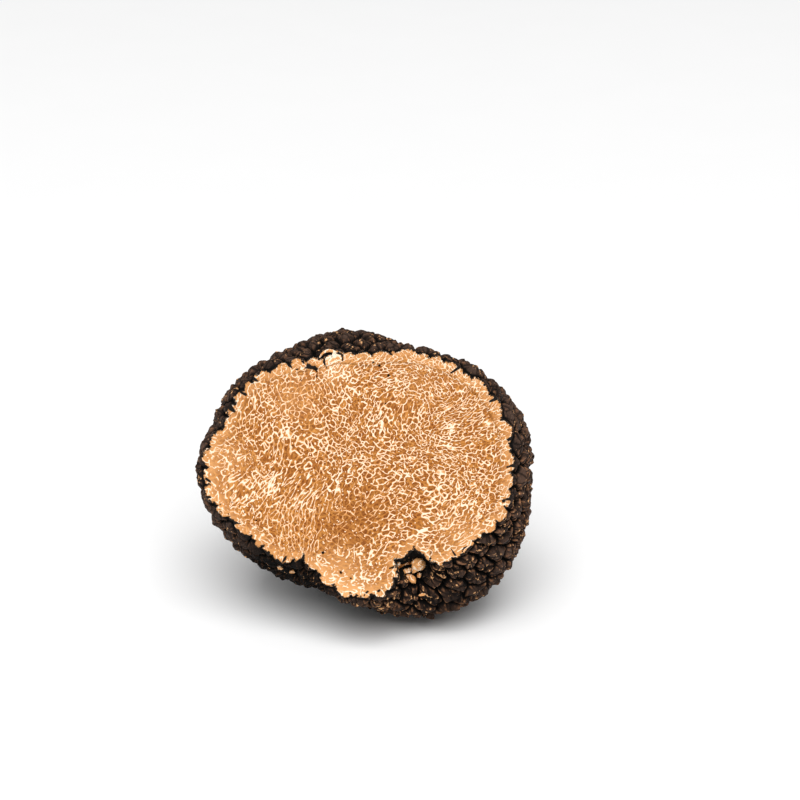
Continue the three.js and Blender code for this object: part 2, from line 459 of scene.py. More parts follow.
def gridFaces(rows, columns, first=0):
    row, column = np.meshgrid(np.arange(rows - 1), np.arange(columns), indexing="ij")
    a = first + row * columns + column
    b = first + row * columns + (column + 1) % columns
    return np.stack([a, a + columns, b + columns, b], axis=-1).reshape(-1, 4)


# triangles from a ring of points, and the points that follow them in it, to one point in its middle
def capFaces(ring, following, middle):
    return np.stack([ring, np.full(len(ring), middle), following], axis=1)


# a closed piece from its points in millimetres and its faces
def makeMesh(name, points, quads, triangles):
    mesh = bpy.data.meshes.new(name)
    mesh.vertices.add(len(points))
    mesh.vertices.foreach_set("co", (points * mm).ravel())
    loops = np.concatenate([quads.ravel(), triangles.ravel()])
    starts = np.concatenate([np.arange(len(quads)) * 4, len(quads) * 4 + np.arange(len(triangles)) * 3])
    mesh.loops.add(len(loops))
    mesh.loops.foreach_set("vertex_index", loops)
    mesh.polygons.add(len(starts))
    mesh.polygons.foreach_set("loop_start", starts)
    mesh.update(calc_edges=True)
    mesh.validate()
    mesh.polygons.foreach_set("use_smooth", np.ones(len(starts), bool))
    piece = bpy.data.objects.new(name, mesh)
    scene.collection.objects.link(piece)
    return piece


# the edges along these rings of points stay sharp
def sharpenRings(piece, *rings):
    edges = np.array([edge.vertices[:] for edge in piece.data.edges])
    sharp = np.any([np.isin(edges, ring).all(axis=1) for ring in rings], axis=0)
    piece.data.attributes.new("sharp_edge", "BOOLEAN", "EDGE").data.foreach_set("value", sharp)


def storeValues(piece, name, values):
    values = np.asarray(values, np.float32)
    kind, field = ("FLOAT", "value") if values.ndim == 1 else ("FLOAT_VECTOR", "vector")
    piece.data.attributes.new(name, kind, "POINT").data.foreach_set(field, values.ravel())


# the inner side that the rind and the flesh share, from the cut to the back, with a row under the seam
innerRimDepth = 2.3  # from the mean outline of the cut to the flesh, mm
seamShare = rowShare(rindGrid["frontRows"])
innerFront = 4
innerShares = np.concatenate([np.linspace(0, seamShare, innerFront + 1)[:-1],
                              np.linspace(seamShare, 1, rindGrid["innerRows"] - innerFront + 1)[:-1]])


def innerPoints():
    inner = []
    for share in innerShares:
        polar = evenRim + (math.pi - evenRim) * share
        inner.append(bodyPoint(directionAt(polar, columnAngles)) * (1 - rindGrid["innerShrink"]))
    rimInner = bodyPoint(directionAt(evenRim, columnAngles))
    inner[0] = rimInner - unit(rimInner * np.array([1, 1, 0])) * innerRimDepth
    inner[0][:, 2] = truffleBody["cutHeight"]
    pole = np.array([[0, 0, -1.0]])
    return np.concatenate(inner), bodyPoint(pole) * (1 - rindGrid["innerShrink"])


innerSide, innerBottom = innerPoints()
rimPoints = outer[:rindGrid["columns"]]
rimTree = siteTree(rimPoints)


# what the knife shows: places in millimetres in the plane of the cut, x to the right, y up the face
cutFace = {
    # the veins fan out from a place: its x and y, the radius where cells have their true width, the turn
    # of the middle ray from straight down towards the left in radians, and how evenly cells keep that width
    "fan": (22.0, 30.0, 27.0, 0.75, 0.65),
    "longFan": (-6.0, 12.0, 18.0, 0.4, 0.2),  # of the long cells, at the lower left
    "longFrom": 20.0,  # from the fan's centre, where the cells start to stretch
    "longTo": 38.0,
    "nearScale": 1.12,
    "stretch": 1.15,  # length of a stretched cell by its width
    # x, y, radius, and how far long cells take the place of round ones there
    "longVeins": [(-10.5, -8.0, 6.0, 1.2), (-18.0, -2.5, 4.5, 0.9), (-1.0, -15.0, 4.0, 0.5)],
    "bendSize": 7.0,
    "bend": 1.3,
    # x, y, radius and degrees: places where the rays turn aside
    "turns": [(-3.0, 12.0, 5.0, 22.0), (10.0, 12.0, 7.0, -25.0)],
    # x, y, radius, and how much thicker the pale veins are there
    "thickVeins": [
        (-3.7, -1.3, 1.1, 0.07), (-2.9, 0.3, 0.9, 0.06), (-5.2, -3.2, 1.0, 0.05), (13.2, 5.6, 0.9, 0.06),
        (13.8, 8.0, 0.9, 0.05), (-2.6, 14.6, 0.9, 0.06), (-6.0, 17.0, 1.3, 0.06), (-4.2, 15.6, 1.0, 0.05),
        (-9.4, -1.1, 1.0, 0.06), (7.0, 0.3, 1.0, 0.05), (-14.8, -2.4, 1.4, 0.04), (16.8, -4.0, 1.0, 0.05),
        (9.8, -8.7, 1.0, 0.05), (-21.5, 1.5, 1.6, 0.03), (4.5, 15.2, 1.3, 0.02), (-1.5, 12.0, 1.5, 0.03),
        (-18.0, -5.5, 1.4, 0.04), (-9.5, -4.5, 1.6, 0.04), (2.5, 8.0, 1.4, 0.03), (-13.0, 6.5, 1.2, 0.03),
        (-1.0, -17.5, 4.0, 0.045), (-6.2, 19.2, 1.1, 0.1),
    ],
    # x, y, radius, and how much thinner the veins are there
    "thinVeins": [
        (-11.0, -9.0, 5.0, 0.02), (-1.8, -8.5, 4.5, 0.035), (-10.9, 12.0, 4.0, 0.025),
        (2.0, -5.5, 3.5, 0.02), (-21.0, 6.0, 3.0, 0.015),
    ],
    # x, y, radius, and how much darker the flesh is there
    "darkFlesh": [
        (-1.7, -9.0, 5.5, 0.9), (1.5, 3.0, 7.0, 0.35), (-15.0, 0.0, 5.5, 0.3), (12.0, -2.0, 5.0, 0.2),
    ],
    # x, y, radius, and how much paler it is there
    "paleFlesh": [
        (-1.0, -19.0, 4.5, 0.5), (-4.0, -15.5, 3.0, 0.35), (-5.5, 16.8, 2.4, 0.5), (-22.5, 1.5, 3.0, 0.4),
        (-23.5, -4.0, 2.5, 0.3), (-12.0, 12.0, 4.0, 0.25), (16.0, -9.0, 3.5, 0.3), (8.0, 15.0, 4.0, 0.1),
    ],
    # clefts that run into the flesh, point by point, and their half width: painted black, the skin's own
    # colour where it folds in and painted shade in the cracks
    "clefts": [
        ([(-22.6, 10.2), (-21.4, 9.0)], 0.35), ([(-20.6, 12.4), (-19.7, 12.0)], 0.28),
        ([(-18.9, 14.7), (-18.0, 14.4)], 0.22), ([(-13.2, 17.5), (-12.6, 16.9), (-11.5, 16.5)], 0.22),
        ([(-10.0, 17.0), (-9.0, 17.1), (-8.4, 16.8)], 0.5),
        ([(-8.5, 16.6), (-8.3, 15.9), (-8.4, 15.3)], 0.2),
        ([(-7.2, 17.8), (-6.9, 17.1), (-6.6, 16.4)], 0.17),
        ([(-7.4, 17.9), (-7.1, 18.9), (-6.4, 19.4)], 0.13),
        ([(-5.3, 19.6), (-4.3, 19.1), (-4.2, 18.1)], 0.17),
        ([(-11.2, 18.1), (-10.6, 17.8), (-10.3, 18.5)], 0.12),
        ([(13.6, 17.0), (15.2, 18.2)], 0.22), ([(20.0, 12.5), (21.6, 13.4)], 0.22),
        ([(22.0, 9.6), (23.6, 10.3)], 0.2), ([(23.2, 6.5), (24.8, 7.2)], 0.25),
        ([(23.2, 2.0), (24.8, 2.6)], 0.22), ([(22.8, -3.5), (24.4, -2.8)], 0.25),
        ([(17.6, -10.6), (17.0, -11.4), (16.3, -12.7)], 0.15), ([(14.8, -11.4), (15.8, -12.7)], 0.15),
        ([(11.6, -13.6), (11.7, -12.2)], 0.15), ([(5.2, -15.2), (6.3, -14.7)], 0.22),
        ([(3.4, -19.0), (4.3, -18.1)], 0.22), ([(1.2, -19.7), (1.9, -18.9)], 0.22),
        ([(-9.2, -14.8), (-9.0, -13.4)], 0.2), ([(-12.2, -14.8), (-11.9, -14.1)], 0.25),
        ([(-15.4, -14.6), (-14.7, -13.5)], 0.18), ([(-20.9, -8.8), (-19.7, -9.1)], 0.16),
        ([(-27.0, 0.7), (-25.7, -0.1)], 0.25), ([(-25.6, -2.0), (-24.9, -2.5)], 0.2),
        ([(-25.5, -5.1), (-24.6, -4.9)], 0.18),
    ],
    # x, y and half width of the pores, which are painted black as shade in the holes
    "pores": [
        (0.8, 18.1, 0.28), (1.8, 17.8, 0.22), (3.3, 16.2, 0.26), (1.2, 15.8, 0.15), (-10.9, 14.8, 0.16),
        (3.1, 11.5, 0.18), (-17.1, -8.4, 0.14), (-10.7, -8.7, 0.16), (-5.9, -13.2, 0.2), (-6.3, -14.1, 0.14),
        (-2.8, -16.2, 0.24), (-1.2, -17.1, 0.2), (21.8, -6.7, 0.18), (17.3, -9.9, 0.2), (-23.6, 1.3, 0.15),
        (-21.2, -5.6, 0.12), (-11.8, 4.1, 0.14), (-19.6, 9.7, 0.1), (6.2, -5.5, 0.12), (9.5, 16.5, 0.14),
    ],
    "raggedEdge": [(0.45, 0.45, 21), (0.2, 0.3, 22)],  # of clefts and pores: size in mm, share, seed
    "cleftTaper": (0.5, 1.1, 0.9),  # width deep in the flesh, what the rim adds to it, and over how many mm
    "dentDepth": 0.45,  # of clefts and pores
    "knifeDrag": 0.02,  # height of the waves that the knife left
}


# how deep below the skin a point of the cut face lies
def depthFromRim(points):
    return np.array([rimTree.find(p)[2] for p in points])


# distance from a chain of straight stretches
def chainDistance(points, chain):
    nearest = np.full(len(points), 1e3)
    for start, end in zip(np.array(chain[:-1]), np.array(chain[1:])):
        along = end - start
        share = np.clip((points[:, :2] - start) @ along / (along @ along), 0, 1)
        away = points[:, :2] - start - share[:, None] * along
        nearest = np.minimum(nearest, np.linalg.norm(away, axis=1))
    return nearest


# how far each point is from the middle of the nearest cleft or pore, in half widths of it
def gapDistance(points):
    ragged = 1
    for size, share, seed in cutFace["raggedEdge"]:
        ragged = ragged + share * softNoise(points, size, seed)
    nearest = np.full(len(points), 50.0)
    inside, added, reach = cutFace["cleftTaper"]
    taper = inside + added * np.exp(-depthFromRim(points) / reach)
    for chain, halfWidth in cutFace["clefts"]:
        nearest = np.minimum(nearest, chainDistance(points, chain) / (halfWidth * ragged * taper))
    for x, y, halfWidth in cutFace["pores"]:
        nearest = np.minimum(nearest, np.hypot(points[:, 0] - x, points[:, 1] - y) / (halfWidth * ragged))
    return nearest


# the pattern's own place for each point: along the fan's ray and across it, so that far cells come out
# longer
def veinPlace(points, fan):
    bend = np.stack([softNoise(points, cutFace["bendSize"], seed) for seed in (31, 32)], axis=1)
    place = points[:, :2].copy()
    for x, y, radius, degrees in cutFace["turns"]:
        away = place - (x, y)
        turn = -math.radians(degrees) * np.exp(-np.sum(away ** 2, axis=1) / radius ** 2)
        right = away[:, 0] * np.cos(turn) - away[:, 1] * np.sin(turn)
        up = away[:, 0] * np.sin(turn) + away[:, 1] * np.cos(turn)
        place = np.stack([right, up], axis=1) + (x, y)
    fanX, fanY, fanRadius, middleRay, evenness = fan
    way = place + bend * cutFace["bend"] - (fanX, fanY)
    reach = np.hypot(way[:, 0], way[:, 1])
    angle = np.arctan2(-way[:, 0], -way[:, 1]) - middleRay
    radii = np.linspace(0, 80, 400)
    stretched = smoothStep(radii, cutFace["longFrom"], cutFace["longTo"])
    rate = mix(cutFace["nearScale"], 1 / cutFace["stretch"], stretched)
    along = np.interp(reach, radii, np.cumsum(rate) * (radii[1] - radii[0]))
    across = fanRadius * angle * (reach / fanRadius) ** evenness
    return np.stack([along, across, np.zeros(len(points))], axis=1)


# what the flesh's finish needs to know at each point
def storeCut(piece, points, depth, paler=0.0):
    storeValues(piece, "skinDepth", depth)
    storeValues(piece, "veinPlace", veinPlace(points, cutFace["fan"]))
    storeValues(piece, "longPlace", veinPlace(points, cutFace["longFan"]))
    thicker = spotSum(points, cutFace["thickVeins"]) - spotSum(points, cutFace["thinVeins"])
    storeValues(piece, "veinExtra", thicker)
    storeValues(piece, "longVeins", spotSum(points, cutFace["longVeins"]))
    storeValues(piece, "darkFlesh", spotSum(points, cutFace["darkFlesh"]))
    storeValues(piece, "paleFlesh", spotSum(points, cutFace["paleFlesh"]) + paler)
    storeValues(piece, "gapDistance", gapDistance(points))


# smooth normals of the whole skin, so that the seam between the rind's two pieces can't be seen
def skinNormals():
    grid = stand(outer)
    grid[:, 2] = np.maximum(grid[:, 2], 0)
    grid = grid.reshape(*gridShape, 3)
    down = np.gradient(grid, axis=0)
    sideways = np.roll(grid, -1, 1) - np.roll(grid, 1, 1)
    return unit(np.cross(down, sideways) + 1e-12)


# one closed piece of the rind, from one row of the skin to another, over the same part of the inner side
def makeRind(name, firstRow, lastRow, firstInner, lastInner):
    columns = rindGrid["columns"]
    strips = rindGrid["ringStrips"]
    toPole = lastRow == rindGrid["rows"]
    outerRows = lastRow - firstRow + (0 if toPole else 1)
    innerRows = lastInner - firstInner + (0 if toPole else 1)
    skin = slice(firstRow * columns, (firstRow + outerRows) * columns + toPole)
    under = innerSide[firstInner * columns:(firstInner + innerRows) * columns]
    start = outer[firstRow * columns:(firstRow + 1) * columns]
    shares = np.arange(1, strips)[:, None, None] / strips
    ring = (start[None] + (under[None, :columns] - start[None]) * shares).reshape(-1, 3)
    parts = [outer[skin], under] + ([innerBottom] if toPole else []) + [ring]
    flatPoints = np.concatenate(parts)
    points = stand(flatPoints)
    points[:, 2] = np.maximum(points[:, 2], 0)
    innerFirst = outerRows * columns + toPole
    bottomNumber = innerFirst + innerRows * columns
    ringFirst = bottomNumber + toPole
    column = np.arange(columns)
    following = (column + 1) % columns
    loops = [column] + [ringFirst + k * columns + column for k in range(strips - 1)] + [innerFirst + column]
    ringQuads = []
    for a, b in zip(loops[:-1], loops[1:]):
        ringQuads.append(np.stack([a, a[following], b[following], b], axis=1))
    outerQuads = gridFaces(outerRows, columns)
    innerQuads = gridFaces(innerRows, columns, innerFirst)[:, ::-1]
    quads = [outerQuads, innerQuads] + ringQuads
    triangles = np.zeros((0, 3), int)
    lastOuter = (outerRows - 1) * columns + column
    lastUnder = innerFirst + (innerRows - 1) * columns + column
    if toPole:
        triangles = np.concatenate([
            capFaces(lastOuter, lastOuter[following], outerRows * columns),
            capFaces(lastUnder[following], lastUnder, bottomNumber),
        ])
    else:
        quads.append(np.stack([lastOuter, lastUnder, lastUnder[following], lastOuter[following]], axis=1))
    quads = np.concatenate(quads)
    piece = makeMesh(name, points, quads, triangles)
    # the ring and the warts that the knife went through show flesh
    onCut = np.zeros(len(quads) + len(triangles), int)
    if firstRow == 0:
        onCut[:len(outerQuads)] = (outer[outerQuads, 2] > truffleBody["cutHeight"] - 1e-6).all(axis=1)
        ringStart = len(outerQuads) + len(innerQuads)
        onCut[ringStart:ringStart + len(ringQuads) * columns] = 1
    piece.data.polygons.foreach_set("material_index", onCut)
    sharpenRings(piece, column, *([] if toPole else [lastOuter]))
    depth = np.zeros(len(points))
    depth[:innerFirst] = takenOff[skin]
    if firstRow == 0:
        depth[innerFirst:innerFirst + columns] = depthFromRim(under[:columns])
        depth[ringFirst:] = depthFromRim(ring)
    storeCut(piece, flatPoints, depth)
    for kind, values in skinValues.items():
        skinOnly = np.zeros(len(points))
        skinOnly[:innerFirst] = values[skin]
        storeValues(piece, kind, skinOnly)
    # the seam takes the whole skin's normals
    seamRow = firstRow if toPole else lastRow
    seam = column if toPole else lastOuter
    seamNormals = skinNormals()[seamRow]
    corners = np.zeros(len(piece.data.loops), int)
    piece.data.loops.foreach_get("vertex_index", corners)
    normals = np.zeros((len(corners), 3))
    onSeam = np.isin(corners, seam)
    onSeam[len(outerQuads) * 4:] = False
    normals[onSeam] = seamNormals[corners[onSeam] - seam[0]]
    piece.data.normals_split_custom_set(normals)
    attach(piece, "root")
    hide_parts("truffle")
    return piece


rindFront = makeRind("rindFront", 0, rindGrid["frontRows"], 0, innerFront)
rindBack = makeRind("rindBack", rindGrid["frontRows"], rindGrid["rows"], innerFront, rindGrid["innerRows"])
print("rind made:", len(rindFront.data.polygons), len(rindBack.data.polygons))

fleshGrid = {"rings": 90}


def makeFlesh():
    columns = rindGrid["columns"]
    rings = fleshGrid["rings"]
    rim = innerSide[:columns]
    centre = np.array([0, 0, truffleBody["cutHeight"]])
    share = np.arange(rings) / rings
    top = (rim[None] + (centre - rim)[None] * share[:, None, None]).reshape(-1, 3)
    flatPoints = np.concatenate([top, centre[None], innerSide[columns:], innerBottom])
    dented = flatPoints.copy()
    face = slice(columns, rings * columns + 1)
    dented[face, 2] -= cutFace["dentDepth"] * (1 - smoothStep(gapDistance(flatPoints[face]), 0.4, 1.3))
    dented[face, 2] += cutFace["knifeDrag"] * softNoise(flatPoints[face], 1.6, 41)
    centreNumber = rings * columns
    belowFirst = centreNumber + 1
    innerRows = rindGrid["innerRows"] - 1
    column = np.arange(columns)
    following = (column + 1) % columns
    quads = np.concatenate([
        gridFaces(rings, columns)[:, ::-1],
        gridFaces(innerRows, columns, belowFirst),
        np.stack([column, belowFirst + column, belowFirst + following, following], axis=1),
    ])
    lastRing = (rings - 1) * columns
    lastBelow = belowFirst + (innerRows - 1) * columns
    triangles = np.concatenate([
        capFaces(lastRing + following, lastRing + column, centreNumber),
        capFaces(lastBelow + column, lastBelow + following, len(flatPoints) - 1),
    ])
    piece = makeMesh("flesh", stand(dented), quads, triangles)
    sharpenRings(piece, column)
    storeCut(piece, flatPoints, depthFromRim(flatPoints))
    return piece


flesh = makeFlesh()
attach(flesh, "root")
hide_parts("truffle")
print("flesh made:", len(flesh.data.polygons))

# torn flakes of flesh, in the bite and under the cut's edge, and a fold of it that curls up at the top
flakes = {
    # x, y, depth of the middle below the cut, half length, half width and half thickness, turn in degrees,
    # and the radius it is bent to, which is large for the straight ones
    "places": [
        (9.5, -14.4, 2.4, 1.2, 1.0, 1.3, 20, 50), (7.7, -15.4, 3.2, 0.75, 0.4, 0.6, 10, 50),
        (8.4, -16.6, 3.5, 0.9, 0.45, 0.6, -38, 50), (9.7, -16.1, 3.9, 0.45, 0.35, 0.5, 70, 50),
        (10.3, -19.2, 5.2, 0.55, 0.25, 0.4, 12, 50), (-13.1, -15.9, 2.7, 0.5, 0.32, 0.5, -30, 50),
        (-11.2, -16.5, 3.4, 0.42, 0.28, 0.5, 0, 50), (-6.25, 19.85, 0.2, 2.35, 0.22, 0.4, -8, 1.6),
    ],
    "rows": 16,
    "columns": 26,
    "ragged": 0.34,
    "underSkin": 1.2,  # mm, how deep the flesh lay that they are torn from
    "paler": 0.5,  # than the cut face
}


# bends points that lie along x into an arch of this radius
def archedPoints(points, radius):
    turn = points[:, 0] / radius
    reach = radius + points[:, 1]
    return np.stack([reach * np.sin(turn), reach * np.cos(turn) - radius, points[:, 2]], axis=1)


def makeFlakes():
    rows = flakes["rows"]
    columns = flakes["columns"]
    polars = np.pi * np.arange(1, rows) / rows
    angles = 2 * np.pi * np.arange(columns) / columns
    polar, angle = np.meshgrid(polars, angles, indexing="ij")
    ball = np.concatenate([directionAt(polar, angle).reshape(-1, 3), [[0, 0, 1.0], [0, 0, -1.0]]])
    column = np.arange(columns)
    following = (column + 1) % columns
    last = (rows - 2) * columns + column
    top = (rows - 1) * columns
    points, quads, triangles = [], [], []
    for number, (x, y, deep, length, width, thickness, turn, bend) in enumerate(flakes["places"]):
        first = number * len(ball)
        own = ball + number * 9.0
        ragged = 1 + flakes["ragged"] * (softNoise(own, 0.8, 81) + 0.7 * softNoise(own, 0.35, 82))
        turned = np.array(Matrix.Rotation(math.radians(turn), 3, "Z"))
        straight = ball * np.array([length, width, thickness]) * ragged[:, None]
        shaped = archedPoints(straight, bend) @ turned.T
        points.append(shaped + np.array([x, y, truffleBody["cutHeight"] - deep]))
        quads.append(gridFaces(rows - 1, columns, first))
        triangles.append(np.stack([column, following, np.full(columns, top)], axis=1) + first)
        triangles.append(np.stack([last[following], last, np.full(columns, top + 1)], axis=1) + first)
    flatPoints = np.concatenate(points)
    piece = makeMesh("flakes", stand(flatPoints), np.concatenate(quads), np.concatenate(triangles))
    storeCut(piece, flatPoints, np.full(len(flatPoints), flakes["underSkin"]), flakes["paler"])
    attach(piece, "root")
    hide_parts("truffle")
    return piece


tornFlakes = makeFlakes()
print("flakes made:", len(tornFlakes.data.polygons))


# truffle flesh, cut with a knife: brown spore cells in a net of pale veins, satin and slightly moist
fleshLook = {
    "cellDark": "#6c3409",
    "cellMid": "#a76527",
    "cellPale": "#c7863f",
    "rimPale": "#dda167",
    "veinEdge": "#d5914b",  # the halo that a pale vein lights up in the flesh beside it
    "vein": "#f4dfc5",
    # skinLine: the skin's own near-black, also painted into the clefts and pores as shade
    "skinLine": "#120c08",
    "cellSize": 0.7,  # mm, from vein to vein
    "smallCellSize": 0.47,
    "longCell": 2.8,  # length of the long cells by their width
    "grainSize": 0.5,  # of the pale grains that stand alone
    "beadSize": 0.4,  # of the dark beads in the cells
    "veinWidth": 0.066,  # mm, half of it
    "missing": 0.34,  # share of the net's walls that carry no vein
    "netWaves": [(1.5, 0.4), (0.42, 0.2)],  # size and reach of the waves that bend the net, mm
    # where in the noise, scale per mm, detail, roughness, and the noise from and to turned to shares
    "patches": {
        "mottle": (5, 3.3, 4.0, 0.8, (0.34, 0.66, 0.0, 1.0)),
        "blotch": (15, 0.7, 2.0, 0.6, (0.3, 0.7, 0.0, 1.0)),
        "jag": (11, 1.1, 4.0, 0.7, (0.4, 0.75, 0.0, 0.6)),
    },
    "knifeGrain": 9.0,  # of the fine grain that the knife leaves, per mm
    "reliefDepth": 0.06,  # of veins and grain, mm
    "roughness": 0.6,
    "ior": 1.36,  # watery tissue
    "specular": 0.2,
}


# walls between neighbouring cells: the distance to the nearest in mm, its own random number, and how far
# it runs across the fan
def addCellWalls(tree, place, size):
    grid = {"Vector": place, "Scale": 1 / size, "Randomness": 0.85}
    first = addNode(tree, "TexVoronoi", grid, **cellsInPlane).node.outputs
    second = addNode(tree, "TexVoronoi", grid, **{**cellsInPlane, "feature": "F2"}).node.outputs
    away = addNode(tree, "Math", (second["Distance"], first["Distance"]), operation="SUBTRACT")
    away = addNode(tree, "Math", (away, size / 2), operation="MULTIPLY")
    pair = addNode(tree, "VectorMath", (first["Color"], second["Color"]), operation="ADD")
    pair = addNode(tree, "SeparateXYZ", (pair,))
    own = addNode(tree, "Math", (pair, 7.13), operation="MULTIPLY")
    own = addNode(tree, "Math", (own,), operation="FRACT")
    step = addNode(tree, "VectorMath", (second["Position"], first["Position"]), operation="SUBTRACT")
    step = addNode(tree, "VectorMath", (step,), operation="NORMALIZE")
    step = addNode(tree, "VectorMath", (step,), operation="ABSOLUTE")
    across = addNode(tree, "SeparateXYZ", (step,))
    return away, own, across


# a net of pale veins along those walls, with some of them left out, and the distance to the nearest wall
def addVeinNet(tree, place, values, missing, size, halfWidth, crossing, offset):
    away, own, across = addCellWalls(tree, place, size)
    gone = addNode(tree, "Math", (across, crossing, missing), operation="MULTIPLY_ADD")
    kept = addNode(tree, "Math", (own, gone), operation="SUBTRACT")
    kept = addNode(tree, "MapRange", (kept, -0.06, 0.12, 0.0, 1.0))
    moved = addNode(tree, "VectorMath", (values["veinPlace"], (offset, offset, 0)), operation="ADD")
    swell = addNode(tree, "TexNoise", {"Vector": moved, "Scale": 1.25, "Detail": 1.0}, **inPlane)
    swell = addNode(tree, "MapRange", (swell, 0.3, 0.7, -0.02, 0.025))
    extra = addNode(tree, "Math", (kept, 0.3), operation="ADD")
    extra = addNode(tree, "Math", (extra, values["veinExtra"]), operation="MULTIPLY")
    width = addNode(tree, "Math", (kept, halfWidth, swell), operation="MULTIPLY_ADD")
    width = addNode(tree, "Math", (width, extra), operation="ADD")
    net = addNode(tree, "Math", (away, width), operation="SUBTRACT")
    net = addNode(tree, "MapRange", (net, -0.075, 0.055, 1.0, 0.0), **fading)
    kept = addNode(tree, "MapRange", (kept, 0.0, 0.3, 0.0, 1.0))
    return addNode(tree, "Math", (net, kept), operation="MULTIPLY"), away


def makeFleshMaterial():
    look = fleshLook
    material = bpy.data.materials.new("truffle flesh, cut with a knife")
    material.use_nodes = True
    tree = material.node_tree
    shader = tree.nodes["Principled BSDF"]
    values = {}
    for name in ("skinDepth", "veinExtra", "longVeins", "darkFlesh", "paleFlesh", "gapDistance"):
        values[name] = addNode(tree, "Attribute", output="Fac", attribute_name=name)
    place = addNode(tree, "Attribute", output="Vector", attribute_name="veinPlace")
    values["veinPlace"] = place

    # two waves push the net about, so that no wall runs straight
    bent = place
    longBent = addNode(tree, "Attribute", output="Vector", attribute_name="longPlace")
    for size, reach in look["netWaves"]:
        moved = addNode(tree, "VectorMath", (place, (size * 7, size * 7, 0)), operation="ADD")
        push = {"Vector": moved, "Scale": 1 / size, "Detail": 0.0}
        push = addNode(tree, "TexNoise", push, "Color", **inPlane)
        push = addNode(tree, "VectorMath", (push, (0.5, 0.5, 0.5)), operation="SUBTRACT")
        spread = (reach, reach, 0)
        bent = addNode(tree, "VectorMath", (push, spread, bent), operation="MULTIPLY_ADD")
        longBent = addNode(tree, "VectorMath", (push, spread, longBent), operation="MULTIPLY_ADD")

    # round cells, then long ones that run down the fan's rays, then a finer net here and there
    size, width = look["cellSize"], look["veinWidth"]
    longShare = addNode(tree, "Math", (values["longVeins"], look["missing"]), operation="ADD")
    veins, away = addVeinNet(tree, bent, values, longShare, size, width, 0.1, 3.0)
    drawn = addNode(tree, "VectorMath", (longBent, (1 / look["longCell"], 1, 1)), operation="MULTIPLY")
    shortShare = addNode(tree, "Math", (1.0, values["longVeins"]), operation="SUBTRACT")
    long, _ = addVeinNet(tree, drawn, values, shortShare, size * 0.8, width * 0.85, 0.25, 6.0)
    veins = addNode(tree, "Math", (veins, long), operation="MAXIMUM")
    fine, _ = addVeinNet(tree, bent, values, 0.8, look["smallCellSize"], width * 0.8, 0.1, 9.0)
    fine = addNode(tree, "Math", (fine, 0.85), operation="MULTIPLY")
    veins = addNode(tree, "Math", (veins, fine), operation="MAXIMUM")
    # small pale grains stand alone in some cells
    grid = {"Vector": bent, "Scale": 1 / look["grainSize"], "Randomness": 1.0}
    grain = addNode(tree, "TexVoronoi", grid, "Distance", **cellsInPlane)
    picked = addNode(tree, "SeparateXYZ", (grain.node.outputs["Color"],))
    picked = addNode(tree, "Math", (picked, 0.3), operation="LESS_THAN")
    grain = addNode(tree, "MapRange", (grain, 0.1, 0.2, 0.9, 0.0), **fading)
    grain = addNode(tree, "Math", (grain, picked), operation="MULTIPLY")
    veins = addNode(tree, "Math", (veins, grain), operation="MAXIMUM")

    # uneven patches, each from its own part of the noise
    patches = {}
    for name, (offset, scale, detail, roughness, ends) in look["patches"].items():
        moved = addNode(tree, "VectorMath", (place, (offset, offset, 0)), operation="ADD")
        noise = {"Vector": moved, "Scale": scale, "Detail": detail, "Roughness": roughness}
        noise = addNode(tree, "TexNoise", noise, **inPlane)
        patches[name] = addNode(tree, "MapRange", (noise, *ends))

    # cells: darkest in a band beside each vein and in round beads, with a fine mottle
    near = addNode(tree, "MapRange", (away, 0.06, 0.14, 0.0, 0.55), **fading)
    far = addNode(tree, "MapRange", (away, 0.18, 0.34, 1.0, 0.1), **fading)
    band = addNode(tree, "Math", (near, far), operation="MULTIPLY")
    grid = {"Vector": bent, "Scale": 1 / look["beadSize"], "Randomness": 1.0}
    beads = addNode(tree, "TexVoronoi", grid, "Distance", **cellsInPlane)
    beads = addNode(tree, "MapRange", (beads, 0.2, 0.5, 0.65, 0.0), **fading)
    shade = (beads, patches["mottle"], band)
    shade = addNode(tree, "Math", shade, operation="MULTIPLY_ADD", use_clamp=True)
    # just under the skin the flesh is paler
    rimShare = addNode(tree, "MapRange", (values["skinDepth"], 0.3, 2.4, 0.55, 0.0), **fading)
    rimShare = addNode(tree, "Math", (rimShare, values["paleFlesh"]), operation="ADD", use_clamp=True)
    darkShare = addNode(tree, "Math", (values["darkFlesh"], 0.3), operation="MULTIPLY")
    # the skin's own dark line, ragged; clefts and pores are painted black too, the skin's own colour where a
    # fold of skin is cut and painted shade in the cracks and holes
    skinShare = addNode(tree, "Math", (values["skinDepth"], patches["jag"]), operation="SUBTRACT")
    skinShare = addNode(tree, "MapRange", (skinShare, -0.05, 0.1, 1.0, 0.0))
    gapShare = addNode(tree, "MapRange", (values["gapDistance"], 0.8, 1.15, 1.0, 0.0))
    skinShare = addNode(tree, "Math", (skinShare, gapShare), operation="MAXIMUM")

    # a vein's own pale colour only shows in its middle
    halo = addNode(tree, "MapRange", (veins, 0.0, 0.45, 0.0, 1.0))
    core = addNode(tree, "MapRange", (veins, 0.3, 0.95, 0.0, 1.0))

    colour = linearColour(look["cellPale"])
    layers = (
        (patches["blotch"], "cellMid"), (shade, "cellDark"), (darkShare, "cellDark"), (rimShare, "rimPale"),
        (halo, "veinEdge"), (core, "vein"), (skinShare, "skinLine"),
    )
    for share, name in layers:
        colour = addNode(tree, "Mix", {0: share, 6: colour, 7: linearColour(look[name])}, 2, **colours)
    tree.links.new(colour, shader.inputs["Base Color"])
    shader.inputs["Roughness"].default_value = look["roughness"]
    shader.inputs["IOR"].default_value = look["ior"]
    shader.inputs["Specular IOR Level"].default_value = look["specular"]
